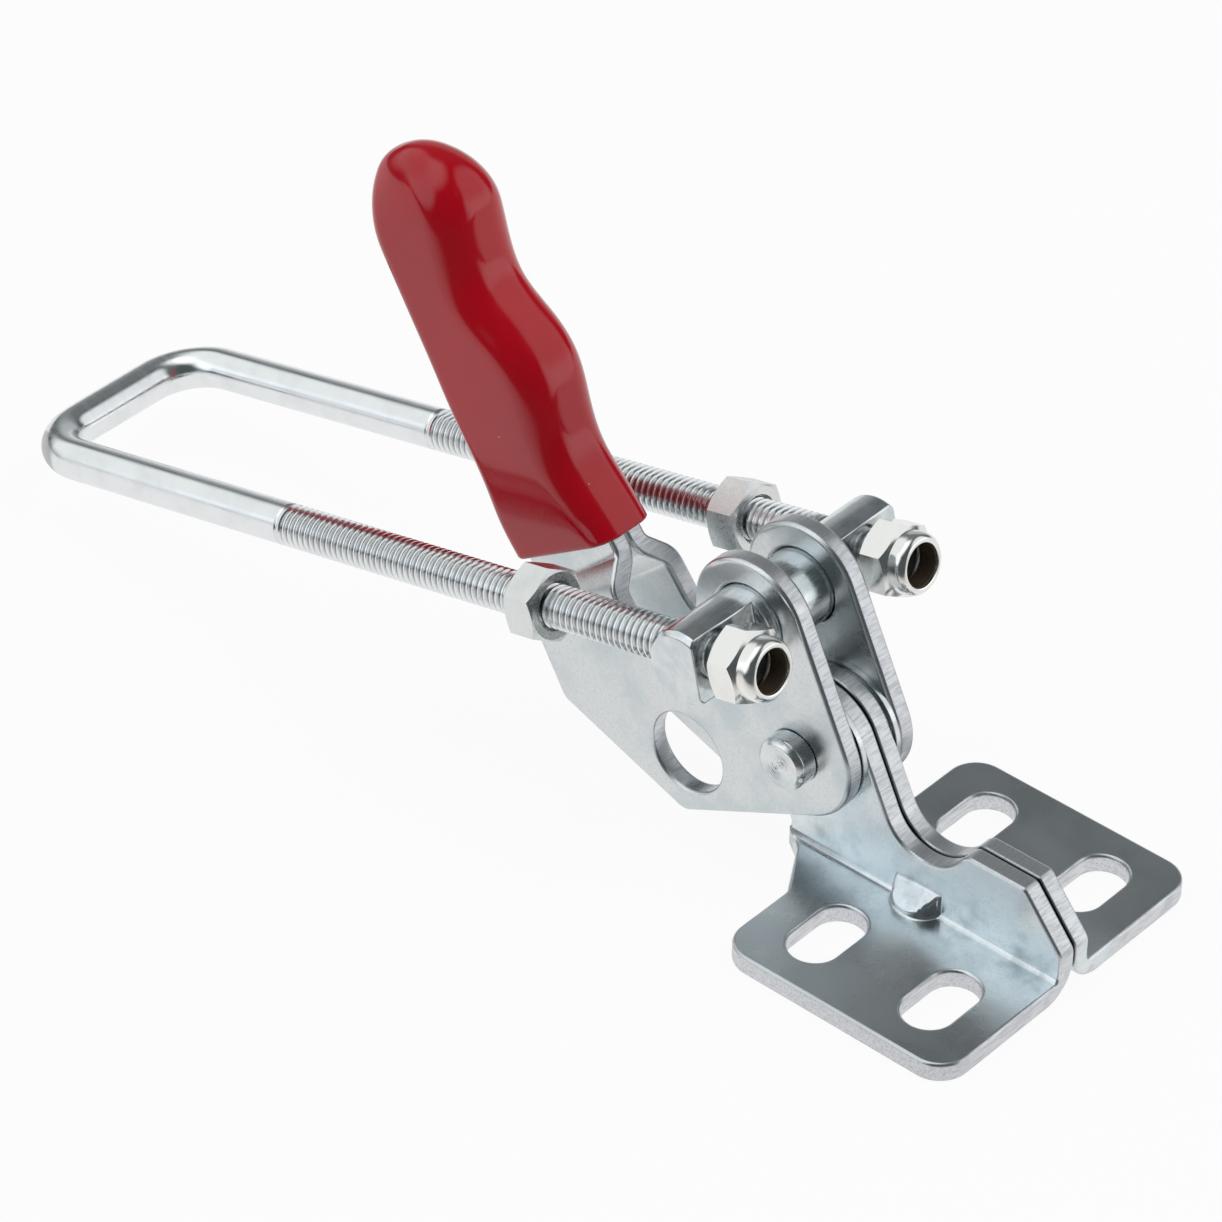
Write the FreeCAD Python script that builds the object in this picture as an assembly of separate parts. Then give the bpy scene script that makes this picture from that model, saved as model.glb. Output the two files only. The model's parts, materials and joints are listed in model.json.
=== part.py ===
import FreeCAD, Part
import math
import os

# Over-centre toggle latch with an adjustable U-bolt, shown thrown open
# X runs across the base, +Y towards the hook end of the U-bolt, +Z up
# The origin is the centre of the four mounting slots, on the underside of the base

# Sheet metal
BASE_SHEET = 4.0
HANDLE_SHEET = 4.0
BEND_INNER_RADIUS = 1.2
BEND_OUTER_RADIUS = 7.0

# Base flange and its mounting slots
FLANGE_LENGTH = 50.0
FLANGE_REACH = 35.0
FLANGE_CORNER_RADIUS = 6.0
SLOT_SPACING_ACROSS = 41.2
SLOT_SPACING_ALONG = 25.2
SLOT_WIDTH = 9.6
SLOT_LENGTH = 16.4

# Upright web of the base
SHELF_HEIGHT = 20.0
SHELF_END = 16.3
SHELF_CORNER_RADIUS = 1.5
TAIL_SHOULDER_HEIGHT = 9.6
TAIL_SHOULDER_RADIUS = 3.0
SHELF_LIP_RADIUS = 2.5
ARM_HEAD_RADIUS = 11.7
ARM_ROOT_Y = 35.0
ARM_ROOT_Z = 6.6
FLARE_START_X = 16.6
FLARE_START_RADIUS = 2.5
FLARE_KNEE_X = 6.0
FLARE_KNEE_Y = 31.6
FLARE_KNEE_RADIUS = 6.0
SEAT_RADIUS_EASE = 2.0

# Stiffening dart pressed into the bend
DART_Y = 6.2
DART_RADIUS = 5.0
DART_HEIGHT = 8.6
DART_NOSE_HEIGHT = 5.6
DART_WALL = 2.8
DART_POCKET_RADIUS = 3.4

# Pivot rivet and its spacer washers
PIVOT_Y = 30.7
PIVOT_Z = 26.6
RIVET_SHANK_RADIUS = 4.5
RIVET_HEAD_RADIUS = 5.1
RIVET_HEAD_HEIGHT = 4.2
RIVET_CHAMFER = 0.9
WASHER_THICKNESS = 0.95
WASHER_RADIUS = 12.3

# Trunnion bar through the handle
TRUNNION_Y = 42.0
TRUNNION_Z = 49.7
TRUNNION_RADIUS = 7.2
TRUNNION_OVERHANG = 7.0
TRUNNION_CHAMFER = 0.9
FLAT_OFFSET = 3.8
FLAT_START = 11.2
CLOSING_ANGLE = 128.5

# Handle plates
EYE_RADIUS = 12.2
THROAT_RADIUS = 8.0
THROAT_BOTTOM_Z = 31.0
TOE_Y = 55.3
TOE_Z = 0.3
HEEL_Y = 84.0
HEEL_Z = 10.5
PLATE_CORNER_RADIUS = 3.0
BACK_EDGE_ANGLE = 58.8
NECK_EDGE_ANGLE = 52.0
LIGHTENING_HOLE_Y = 55.0
LIGHTENING_HOLE_Z = 13.6
LIGHTENING_HOLE_RADIUS = 8.0
JOGGLE_START = 77.1
JOGGLE_SLOPE_ANGLE = 45.0
JOGGLE_AXIS_ANGLE = 48.0
JOGGLE_INNER_RADIUS = 2.0

# Moulded grip over the joined handle plates
GRIP_Y = 86.5
GRIP_Z = 40.8
GRIP_ANGLE = 56.5
GRIP_LENGTH = 76.9
GRIP_BACK_RADIUS = 3.0
GRIP_FINGER_RADIUS = 5.0
TANG_TIP_COVER = 10.1
TANG_CORNER_RADIUS = 6.0

# U-bolt
ROD_DIAMETER = 7.94
LEG_SPACING = 40.0
HOOK_REACH = 170.3
HOOK_BEND_RADIUS = 10.6
ROD_END_RECESS = 4.2
ROD_END_CHAMFER = 0.8
DROOP_ANGLE = 13.2

# Nuts
NUT_ACROSS_FLATS = 12.7
NUT_HEIGHT = 6.75
JAM_NUT_LEFT_PLACE = 38.3
JAM_NUT_RIGHT_PLACE = 26.0
LOCK_NUT_STANDOFF = 2.2
LOCK_NUT_HEX_HEIGHT = 5.8
LOCK_NUT_HEIGHT = 9.2
COLLAR_RADIUS = 5.75
COLLAR_WALL = 0.6
COLLAR_CHAMFER = 1.0
COLLAR_LIP_OVERHANG = 0.9
INSERT_HEIGHT = 2.2

# Named clearances
RUNNING_CLEARANCE = 0.05
SIDE_PLAY = 0.05
SEAT_CLEARANCE = 0.08
CUT_MARGIN = 1.0
TOUCH = 0.001

HANDLE_INNER_X = BASE_SHEET + WASHER_THICKNESS + SIDE_PLAY
HANDLE_OUTER_X = HANDLE_INNER_X + HANDLE_SHEET
ROD_RADIUS = ROD_DIAMETER / 2
NUT_BORE_RADIUS = ROD_RADIUS + RUNNING_CLEARANCE
LEG_X = LEG_SPACING / 2
TRUNNION_LENGTH = LEG_SPACING + 2 * TRUNNION_OVERHANG

# Grip stations: distance along the grip, back edge, finger edge, half thickness
GRIP_STATIONS = [
    (-0.7, -14.2, 12.0, 6.9),
    (7.0, -14.5, 10.6, 7.3),
    (14.5, -13.9, 9.1, 7.7),
    (22.0, -13.6, 10.4, 8.1),
    (31.0, -13.5, 12.7, 8.4),
    (38.5, -12.9, 11.2, 8.5),
    (47.0, -12.5, 7.8, 8.6),
    (55.5, -12.1, 8.6, 8.8),
    (63.0, -11.4, 10.6, 8.7),
    (69.5, -10.3, 9.7, 8.2),
    (73.6, -8.5, 8.0, 7.0),
    (GRIP_LENGTH, -5.8, 5.4, 5.2),
]


def vec(x, y, z):
    return FreeCAD.Vector(x, y, z)


def on_yz(y, z):
    return vec(0, y, z)


def polar(y, z, radius, angle):
    """Point of the YZ plane at a radius and an angle in degrees from +Y towards +Z."""
    turn = math.radians(angle)
    return (y + radius * math.cos(turn), z + radius * math.sin(turn))


def direction(start, end):
    """Angle in degrees of the line from one YZ point to another."""
    return math.degrees(math.atan2(end[1] - start[1], end[0] - start[0]))


def rounded_outline(corners, place=on_yz):
    """Closed wire through corners (a, b, radius), each rounded by a tangent arc."""
    arcs = []
    count = len(corners)
    for index, (a, b, radius) in enumerate(corners):
        before = corners[index - 1]
        after = corners[(index + 1) % count]
        corner = vec(a, b, 0)
        back = (vec(before[0], before[1], 0) - corner).normalize()
        ahead = (vec(after[0], after[1], 0) - corner).normalize()
        half = back.getAngle(ahead) / 2
        run = radius / math.tan(half)
        middle = (back + ahead).normalize() * (radius / math.sin(half) - radius)
        arcs.append((corner + back * run, corner + middle, corner + ahead * run, radius))
    edges = []
    for index, (start, middle, end, radius) in enumerate(arcs):
        if radius > 0:
            edges.append(Part.Arc(place(start.x, start.y), place(middle.x, middle.y),
                                  place(end.x, end.y)).toShape())
        following = arcs[(index + 1) % count][0]
        if (following - end).Length > TOUCH:
            edges.append(Part.LineSegment(place(end.x, end.y),
                                          place(following.x, following.y)).toShape())
    return Part.Wire(edges)


def line_edge(start, end):
    return Part.LineSegment(on_yz(*start), on_yz(*end)).toShape()


def arc_edge(start, middle, end):
    return Part.Arc(on_yz(*start), on_yz(*middle), on_yz(*end)).toShape()


def prism(wire, sweep):
    return Part.Face(wire).extrude(sweep)


def bar_across(y, z, radius, start_x, end_x):
    """Cylinder parallel to X."""
    return Part.makeCylinder(radius, end_x - start_x, vec(start_x, y, z), vec(1, 0, 0))


def mirrored(shape):
    return shape.mirror(vec(0, 0, 0), vec(1, 0, 0))


def closed_trunnion_place():
    """Where the trunnion axis comes to rest when the handle is thrown shut."""
    reach = math.hypot(TRUNNION_Y - PIVOT_Y, TRUNNION_Z - PIVOT_Z)
    open_angle = direction((PIVOT_Y, PIVOT_Z), (TRUNNION_Y, TRUNNION_Z))
    return polar(PIVOT_Y, PIVOT_Z, reach, open_angle + CLOSING_ANGLE)


def crossing_tangent(centre_a, radius_a, centre_b, radius_b):
    """Touch points of the tangent that crosses between two circles."""
    gap = math.hypot(centre_b[0] - centre_a[0], centre_b[1] - centre_a[1])
    lean = math.degrees(math.acos((radius_a + radius_b) / gap))
    towards = direction(centre_a, centre_b)
    touch_a = polar(*centre_a, radius_a, towards - lean)
    touch_b = polar(*centre_b, radius_b, towards - lean + 180)
    return touch_a, touch_b


def tangent_from(point, centre, radius):
    """Touch point on a circle of the tangent through a point, on its +Y side."""
    gap = math.hypot(point[0] - centre[0], point[1] - centre[1])
    lean = math.degrees(math.acos(radius / gap))
    return polar(*centre, radius, direction(centre, point) + lean)


def base_side_outline():
    """Side view of the base: tail shelf, trunnion seat, and arm round the pivot."""
    pivot = (PIVOT_Y, PIVOT_Z)
    stop = closed_trunnion_place()
    seat_radius = TRUNNION_RADIUS + SEAT_RADIUS_EASE
    seat = (stop[0], stop[1] + SEAT_RADIUS_EASE - SEAT_CLEARANCE)
    arm_touch, seat_touch = crossing_tangent(pivot, ARM_HEAD_RADIUS, seat, seat_radius)
    root = (ARM_ROOT_Y, ARM_ROOT_Z)
    back_touch = tangent_from(root, pivot, ARM_HEAD_RADIUS)
    top_angle = (direction(pivot, arm_touch) + direction(pivot, back_touch)) / 2

    lip_z = SHELF_HEIGHT - SHELF_LIP_RADIUS
    lip_gap = seat_radius + SHELF_LIP_RADIUS
    lip_y = seat[0] - math.sqrt(lip_gap ** 2 - (seat[1] - lip_z) ** 2)
    lip_angle = direction((lip_y, lip_z), seat)
    lip_end = polar(lip_y, lip_z, SHELF_LIP_RADIUS, lip_angle)
    lip_middle = polar(lip_y, lip_z, SHELF_LIP_RADIUS, (lip_angle + 90) / 2)
    seat_bottom = (seat[0], seat[1] - seat_radius)

    tail_y = -FLANGE_LENGTH / 2
    low_z = -CUT_MARGIN
    lip_start = (lip_y, SHELF_HEIGHT)
    edges = [
        line_edge((ARM_ROOT_Y, low_z), (tail_y, low_z)),
        line_edge((tail_y, low_z), (tail_y, TAIL_SHOULDER_HEIGHT)),
        line_edge((tail_y, TAIL_SHOULDER_HEIGHT), (-SHELF_END, SHELF_HEIGHT)),
        line_edge((-SHELF_END, SHELF_HEIGHT), lip_start),
        arc_edge(lip_start, lip_middle, lip_end),
        arc_edge(lip_end, seat_bottom, seat_touch),
        line_edge(seat_touch, arm_touch),
        arc_edge(arm_touch, polar(*pivot, ARM_HEAD_RADIUS, top_angle), back_touch),
        line_edge(back_touch, root),
        line_edge(root, (ARM_ROOT_Y, low_z)),
    ]
    return Part.Wire(edges)


def soften(solid, places, radius):
    """Round the edges parallel to X that pass through the given YZ places."""
    picked = []
    for edge in solid.Edges:
        box = edge.BoundBox
        along_x = box.YLength + box.ZLength < TOUCH
        for y, z in places:
            if along_x and math.hypot(box.Center.y - y, box.Center.z - z) < TOUCH:
                picked.append(edge)
    return solid.makeFillet(radius, picked)


def base_web_prism():
    """Side outline as a block as wide as one stamping, with the tail corners rounded."""
    block = prism(base_side_outline(), vec(-FLANGE_REACH - CUT_MARGIN, 0, 0))
    block = soften(block, [(-SHELF_END, SHELF_HEIGHT)], SHELF_CORNER_RADIUS)
    return soften(block, [(-FLANGE_LENGTH / 2, TAIL_SHOULDER_HEIGHT)], TAIL_SHOULDER_RADIUS)


def base_top_outline():
    """Top view of one stamping: flange with round corners, flaring into the arm root."""
    flange_end = FLANGE_LENGTH / 2
    past_arm = ARM_ROOT_Y + ARM_HEAD_RADIUS
    corners = [
        (0, -flange_end, 0),
        (-FLANGE_REACH, -flange_end, FLANGE_CORNER_RADIUS),
        (-FLANGE_REACH, flange_end, FLANGE_CORNER_RADIUS),
        (-FLARE_START_X, flange_end, FLARE_START_RADIUS),
        (-FLARE_KNEE_X, FLARE_KNEE_Y, FLARE_KNEE_RADIUS),
        (-BASE_SHEET, ARM_ROOT_Y, 0),
        (-BASE_SHEET, past_arm, 0),
        (0, past_arm, 0),
    ]
    return rounded_outline(corners, lambda x, y: vec(x, y, 0))


def base_section():
    """End view of the folded sheet: flange, bend and upright web."""
    top = PIVOT_Z + ARM_HEAD_RADIUS + CUT_MARGIN
    far = -FLANGE_REACH - CUT_MARGIN
    corners = [
        (0, 0, BEND_OUTER_RADIUS),
        (0, top, 0),
        (-BASE_SHEET, top, 0),
        (-BASE_SHEET, BASE_SHEET, BEND_INNER_RADIUS),
        (far, BASE_SHEET, 0),
        (far, 0, 0),
    ]
    start_y = -FLANGE_LENGTH / 2 - CUT_MARGIN
    return rounded_outline(corners, lambda x, z: vec(x, start_y, z))


def slot_cutter(x, y):
    """Obround through the flange, long way across the base."""
    half_run = (SLOT_LENGTH - SLOT_WIDTH) / 2
    radius = SLOT_WIDTH / 2
    reach = half_run + radius
    corners = [
        (x - reach, y - radius, radius),
        (x + reach, y - radius, radius),
        (x + reach, y + radius, radius),
        (x - reach, y + radius, radius),
    ]
    wire = rounded_outline(corners, lambda a, b: vec(a, b, -CUT_MARGIN))
    return prism(wire, vec(0, 0, BASE_SHEET + 2 * CUT_MARGIN))


def dart():
    """Half-round dart that stands proud inside the bend, with a sloping top."""
    offset = math.sqrt(DART_RADIUS ** 2 - (DART_RADIUS - CUT_MARGIN) ** 2)
    centre_x = -BASE_SHEET + offset - 2 * CUT_MARGIN
    nose_x = centre_x - DART_RADIUS
    column = Part.makeCylinder(DART_RADIUS, DART_HEIGHT, vec(centre_x, DART_Y, 0))
    slope = [
        (-BASE_SHEET / 2, BASE_SHEET / 2, 0),
        (-BASE_SHEET / 2, DART_HEIGHT, 0),
        (-BASE_SHEET, DART_HEIGHT, 0),
        (nose_x, DART_NOSE_HEIGHT, 0),
        (nose_x, BASE_SHEET / 2, 0),
    ]
    start_y = DART_Y - DART_RADIUS
    outline = rounded_outline(slope, lambda x, z: vec(x, start_y, z))
    return column.common(prism(outline, vec(0, 2 * DART_RADIUS, 0)))


def dart_pocket():
    """Hollow left on the outside of the bend where the dart is pressed in."""
    inner_bend = (BEND_INNER_RADIUS + BASE_SHEET) * math.sqrt(2) - BEND_INNER_RADIUS
    depth = inner_bend - DART_WALL + CUT_MARGIN
    inward = vec(-1, 0, 1).normalize()
    return Part.makeCylinder(DART_POCKET_RADIUS, depth, vec(0, DART_Y, 0), inward)


def base_plate():
    """One of the two mirrored base stampings, on the -X side."""
    folded = prism(base_section(), vec(0, FLANGE_LENGTH + ARM_ROOT_Y + ARM_HEAD_RADIUS, 0))
    outline = prism(base_top_outline(), vec(0, 0, PIVOT_Z + ARM_HEAD_RADIUS + 2 * CUT_MARGIN))
    plate = folded.common(base_web_prism()).common(outline)
    plate = plate.fuse(dart()).removeSplitter()
    cutters = [dart_pocket(), bar_across(PIVOT_Y, PIVOT_Z, RIVET_SHANK_RADIUS,
                                         -BASE_SHEET - CUT_MARGIN, CUT_MARGIN)]
    for side in (-1, 1):
        cutters.append(slot_cutter(-SLOT_SPACING_ACROSS / 2, side * SLOT_SPACING_ALONG / 2))
    return plate.cut(cutters)


def turned(profile, x_axis_y, x_axis_z):
    """Solid of revolution about a line parallel to X, from (x, radius) points."""
    points = [vec(x, x_axis_y, x_axis_z + radius) for x, radius in profile]
    face = Part.Face(Part.makePolygon(points + points[:1]))
    return face.revolve(vec(0, x_axis_y, x_axis_z), vec(1, 0, 0), 360)


def pivot_rivet():
    """Turned rivet: shank through both pairs of plates, a proud head at each end."""
    head_start = HANDLE_OUTER_X + SIDE_PLAY
    end = head_start + RIVET_HEAD_HEIGHT
    right = [
        (head_start, RIVET_SHANK_RADIUS),
        (head_start, RIVET_HEAD_RADIUS),
        (end - RIVET_CHAMFER, RIVET_HEAD_RADIUS),
        (end, RIVET_HEAD_RADIUS - RIVET_CHAMFER),
        (end, 0),
    ]
    left = [(-x, radius) for x, radius in reversed(right)]
    return turned(left + right, PIVOT_Y, PIVOT_Z)


def pivot_washer():
    """Thin spacer between a base plate and a handle plate, on the -X side."""
    start = -BASE_SHEET - WASHER_THICKNESS
    ring = bar_across(PIVOT_Y, PIVOT_Z, WASHER_RADIUS, start, -BASE_SHEET)
    bore = bar_across(PIVOT_Y, PIVOT_Z, RIVET_SHANK_RADIUS, start, -BASE_SHEET)
    return ring.cut(bore)


def grip_point(along, across):
    """YZ place at a distance along the grip and towards its finger side."""
    y, z = polar(GRIP_Y, GRIP_Z, along, GRIP_ANGLE)
    return polar(y, z, across, GRIP_ANGLE + 90)


def crossing(start_a, angle_a, start_b, angle_b):
    """Where two YZ lines meet, each given by a point and an angle."""
    ay, az = math.cos(math.radians(angle_a)), math.sin(math.radians(angle_a))
    by, bz = math.cos(math.radians(angle_b)), math.sin(math.radians(angle_b))
    dy, dz = start_b[0] - start_a[0], start_b[1] - start_a[1]
    run = (dy * bz - dz * by) / (ay * bz - az * by)
    return (start_a[0] + run * ay, start_a[1] + run * az)


def handle_outline():
    """Side view of a handle plate: two eyes, throat, neck, tang, heel and toe."""
    pivot = (PIVOT_Y, PIVOT_Z)
    eye = (TRUNNION_Y, TRUNNION_Z)
    lean = direction(pivot, eye)
    front_low = polar(*pivot, EYE_RADIUS, lean + 90)
    front_high = polar(*eye, EYE_RADIUS, lean + 90)
    eye_top = polar(*eye, EYE_RADIUS, (lean + 90) / 2)
    eye_back = polar(*eye, EYE_RADIUS, 0)
    throat = (eye_back[0] + THROAT_RADIUS, THROAT_BOTTOM_Z + THROAT_RADIUS)
    throat_start = (eye_back[0], throat[1])
    throat_bottom = polar(*throat, THROAT_RADIUS, (180 + NECK_EDGE_ANGLE - 90 + 360) / 2)
    throat_end = polar(*throat, THROAT_RADIUS, NECK_EDGE_ANGLE - 90)

    toe = (TOE_Y, TOE_Z)
    heel = (HEEL_Y, HEEL_Z)
    tip = grip_point(GRIP_LENGTH - TANG_TIP_COVER, 0)
    tip_finger = crossing(tip, GRIP_ANGLE + 90, throat_end, NECK_EDGE_ANGLE)
    tip_back = crossing(tip, GRIP_ANGLE + 90, heel, BACK_EDGE_ANGLE)
    below = tangent_below(toe, pivot, EYE_RADIUS)
    start_angle = direction(pivot, front_low)
    end_angle = direction(pivot, below)
    under = polar(*pivot, EYE_RADIUS, (start_angle + end_angle + 360) / 2)

    edges = [
        line_edge(front_low, front_high),
        arc_edge(front_high, eye_top, eye_back),
        line_edge(eye_back, throat_start),
        arc_edge(throat_start, throat_bottom, throat_end),
        line_edge(throat_end, tip_finger),
        line_edge(tip_finger, tip_back),
        line_edge(tip_back, heel),
        line_edge(heel, toe),
        line_edge(toe, below),
        arc_edge(below, under, front_low),
    ]
    corners = {"plate": [heel, toe], "tang": [tip_finger, tip_back]}
    return Part.Wire(edges), corners


def tangent_below(point, centre, radius):
    """Touch point on a circle of the tangent through a point, on its underside."""
    gap = math.hypot(point[0] - centre[0], point[1] - centre[1])
    lean = math.degrees(math.acos(radius / gap))
    return polar(*centre, radius, direction(centre, point) - lean)


def joggled_sheet():
    """Flat sheet that steps in to the middle plane where the tangs meet in the grip."""
    rise = HANDLE_INNER_X
    run = rise / math.tan(math.radians(JOGGLE_SLOPE_ANGLE))
    shift = HANDLE_SHEET * math.tan(math.radians(JOGGLE_SLOPE_ANGLE / 2))
    outer_radius = JOGGLE_INNER_RADIUS + HANDLE_SHEET
    far = JOGGLE_START + 2 * GRIP_LENGTH
    near = -JOGGLE_START
    corners = [
        (near, HANDLE_INNER_X, 0),
        (JOGGLE_START, HANDLE_INNER_X, JOGGLE_INNER_RADIUS),
        (JOGGLE_START + run, 0, outer_radius),
        (far, 0, 0),
        (far, HANDLE_SHEET, 0),
        (JOGGLE_START + run + shift, HANDLE_SHEET, JOGGLE_INNER_RADIUS),
        (JOGGLE_START + shift, HANDLE_OUTER_X, outer_radius),
        (near, HANDLE_OUTER_X, 0),
    ]
    half_width = 2 * JOGGLE_START
    side = polar(0, 0, half_width, JOGGLE_AXIS_ANGLE + 90)

    def place(along, out):
        y, z = polar(*side, along, JOGGLE_AXIS_ANGLE)
        return vec(-out, y, z)

    across = polar(0, 0, 2 * half_width, JOGGLE_AXIS_ANGLE - 90)
    return prism(rounded_outline(corners, place), vec(0, *across))


def handle_plate():
    """One of the two mirrored handle stampings, on the -X side."""
    wire, corners = handle_outline()
    blank = prism(wire, vec(-HANDLE_OUTER_X - CUT_MARGIN, 0, 0))
    blank = soften(blank, corners["plate"], PLATE_CORNER_RADIUS)
    blank = soften(blank, corners["tang"], TANG_CORNER_RADIUS)
    plate = blank.common(joggled_sheet())
    outside = -HANDLE_OUTER_X - CUT_MARGIN
    holes = [
        (PIVOT_Y, PIVOT_Z, RIVET_SHANK_RADIUS + RUNNING_CLEARANCE),
        (TRUNNION_Y, TRUNNION_Z, TRUNNION_RADIUS + RUNNING_CLEARANCE),
        (LIGHTENING_HOLE_Y, LIGHTENING_HOLE_Z, LIGHTENING_HOLE_RADIUS),
    ]
    return plate.cut([bar_across(y, z, radius, outside, 0) for y, z, radius in holes])


def grip_section(along, back, finger, half_thickness):
    """Rounded rectangle across the grip."""
    corners = [
        (-half_thickness, back, GRIP_BACK_RADIUS),
        (half_thickness, back, GRIP_BACK_RADIUS),
        (half_thickness, finger, GRIP_FINGER_RADIUS),
        (-half_thickness, finger, GRIP_FINGER_RADIUS),
    ]
    return rounded_outline(corners, lambda out, across: vec(out, *grip_point(along, across)))


def grip(left_plate, right_plate):
    """Moulded grip with finger swells, fitted round the two tangs."""
    wires = [grip_section(*station) for station in GRIP_STATIONS]
    return Part.makeLoft(wires, True, True).cut([left_plate, right_plate])


def in_draw_frame(shape):
    """Turn a shape made round the trunnion axis, hook towards +Y, to the droop of the U-bolt."""
    shape.rotate(vec(0, 0, 0), vec(1, 0, 0), -DROOP_ANGLE)
    shape.translate(vec(0, TRUNNION_Y, TRUNNION_Z))
    return shape


def trunnion():
    """Turned bar with a cross hole for each leg and a flat for each lock nut."""
    half = TRUNNION_LENGTH / 2
    profile = [
        (-half, 0), (-half, TRUNNION_RADIUS - TRUNNION_CHAMFER),
        (-half + TRUNNION_CHAMFER, TRUNNION_RADIUS), (half - TRUNNION_CHAMFER, TRUNNION_RADIUS),
        (half, TRUNNION_RADIUS - TRUNNION_CHAMFER), (half, 0),
    ]
    bar = turned(profile, 0, 0)
    cutters = []
    side = 2 * TRUNNION_RADIUS
    for sign in (-1, 1):
        start_x = FLAT_START if sign > 0 else -half - CUT_MARGIN
        cutters.append(Part.makeBox(half + CUT_MARGIN - FLAT_START, side, 2 * side,
                                    vec(start_x, -FLAT_OFFSET - side, -side)))
        cutters.append(Part.makeCylinder(ROD_RADIUS + RUNNING_CLEARANCE, 2 * side,
                                         vec(sign * LEG_X, -side, 0), vec(0, 1, 0)))
    return in_draw_frame(bar.cut(cutters))


def lock_nut_place():
    """Distance from the trunnion axis to the bearing face of a lock nut."""
    return FLAT_OFFSET + LOCK_NUT_STANDOFF


def rod_end_place():
    return ROD_END_RECESS - LOCK_NUT_HEIGHT - lock_nut_place()


def u_bolt():
    """Round rod bent to a U, its chamfered ends inside the lock nuts."""
    end = rod_end_place()
    corner = HOOK_REACH - HOOK_BEND_RADIUS
    inner_x = LEG_X - HOOK_BEND_RADIUS
    leg = Part.makeCylinder(ROD_RADIUS, corner - end, vec(-LEG_X, end, 0), vec(0, 1, 0))
    rim = min(leg.Edges, key=lambda edge: edge.BoundBox.YMax)
    leg = leg.makeChamfer(ROD_END_CHAMFER, [rim])
    circle = Part.makeCircle(ROD_RADIUS, vec(-LEG_X, corner, 0), vec(0, 1, 0))
    bend = Part.Face(Part.Wire(circle)).revolve(vec(-inner_x, corner, 0), vec(0, 0, 1), -90)
    half_bar = Part.makeCylinder(ROD_RADIUS, inner_x, vec(-inner_x, HOOK_REACH, 0), vec(1, 0, 0))
    half = leg.fuse([bend, half_bar])
    return in_draw_frame(half.fuse(mirrored(half)).removeSplitter())


def hexagon(height):
    """Hexagonal blank along +Y from the origin, a flat facing each way across."""
    corner_radius = NUT_ACROSS_FLATS / math.sqrt(3)
    points = []
    for turn in range(0, 361, 60):
        x, z = polar(0, 0, corner_radius, 90 - turn)
        points.append(vec(x, 0, z))
    return Part.Face(Part.makePolygon(points)).extrude(vec(0, height, 0))


def along_y(profile):
    """Solid of revolution about Y from (y, radius) points."""
    points = [vec(radius, y, 0) for y, radius in profile]
    return Part.Face(Part.makePolygon(points + points[:1])).revolve(vec(0, 0, 0), vec(0, 1, 0), 360)


def nut_bore(height):
    """Threaded hole as a plain bore."""
    length = height + 2 * CUT_MARGIN
    return Part.makeCylinder(NUT_BORE_RADIUS, length, vec(0, -CUT_MARGIN, 0), vec(0, 1, 0))


def jam_nut(place, side):
    """Plain hexagon nut on one leg, centred a distance out from the trunnion axis."""
    nut = hexagon(NUT_HEIGHT).cut(nut_bore(NUT_HEIGHT))
    nut.translate(vec(side * LEG_X, place - NUT_HEIGHT / 2, 0))
    return in_draw_frame(nut)


def behind_flat(shape, side):
    """Place a shape made along +Y behind the trunnion's flat, pointing away from the hook."""
    shape.rotate(vec(0, 0, 0), vec(0, 0, 1), 180)
    shape.translate(vec(side * LEG_X, -lock_nut_place(), 0))
    return in_draw_frame(shape)


def insert_radius():
    return COLLAR_RADIUS - COLLAR_WALL


def insert_start():
    return LOCK_NUT_HEIGHT - COLLAR_WALL - INSERT_HEIGHT


def lock_nut(side):
    """Prevailing-torque nut: hexagon, then a round collar rolled in over the insert."""
    lip = LOCK_NUT_HEIGHT
    collar = along_y([(0, 0), (0, COLLAR_RADIUS), (lip - COLLAR_CHAMFER, COLLAR_RADIUS),
                      (lip, COLLAR_RADIUS - COLLAR_CHAMFER), (lip, 0)])
    floor = vec(0, insert_start(), 0)
    pocket = Part.makeCylinder(insert_radius(), INSERT_HEIGHT, floor, vec(0, 1, 0))
    mouth = Part.makeCylinder(insert_radius() - COLLAR_LIP_OVERHANG, lip, floor, vec(0, 1, 0))
    body = hexagon(LOCK_NUT_HEX_HEIGHT).fuse(collar)
    return behind_flat(body.cut([nut_bore(lip), pocket, mouth]).removeSplitter(), side)


def nylon_insert(side):
    """Ring held in the collar of a lock nut."""
    start = insert_start()
    end = start + INSERT_HEIGHT
    ring = along_y([(start, NUT_BORE_RADIUS), (start, insert_radius()),
                    (end, insert_radius()), (end, NUT_BORE_RADIUS)])
    return behind_flat(ring, side)


def build():
    left_plate = handle_plate()
    right_plate = mirrored(left_plate)
    base_left = base_plate()
    washer_left = pivot_washer()
    return {
        "base_plate_left": base_left,
        "base_plate_right": mirrored(base_left),
        "pivot_rivet": pivot_rivet(),
        "pivot_washer_left": washer_left,
        "pivot_washer_right": mirrored(washer_left),
        "handle_plate_left": left_plate,
        "handle_plate_right": right_plate,
        "grip": grip(left_plate, right_plate),
        "trunnion": trunnion(),
        "u_bolt": u_bolt(),
        "jam_nut_left": jam_nut(JAM_NUT_LEFT_PLACE, -1),
        "jam_nut_right": jam_nut(JAM_NUT_RIGHT_PLACE, 1),
        "lock_nut_left": lock_nut(-1),
        "lock_nut_right": lock_nut(1),
        "nylon_insert_left": nylon_insert(-1),
        "nylon_insert_right": nylon_insert(1),
    }


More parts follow.
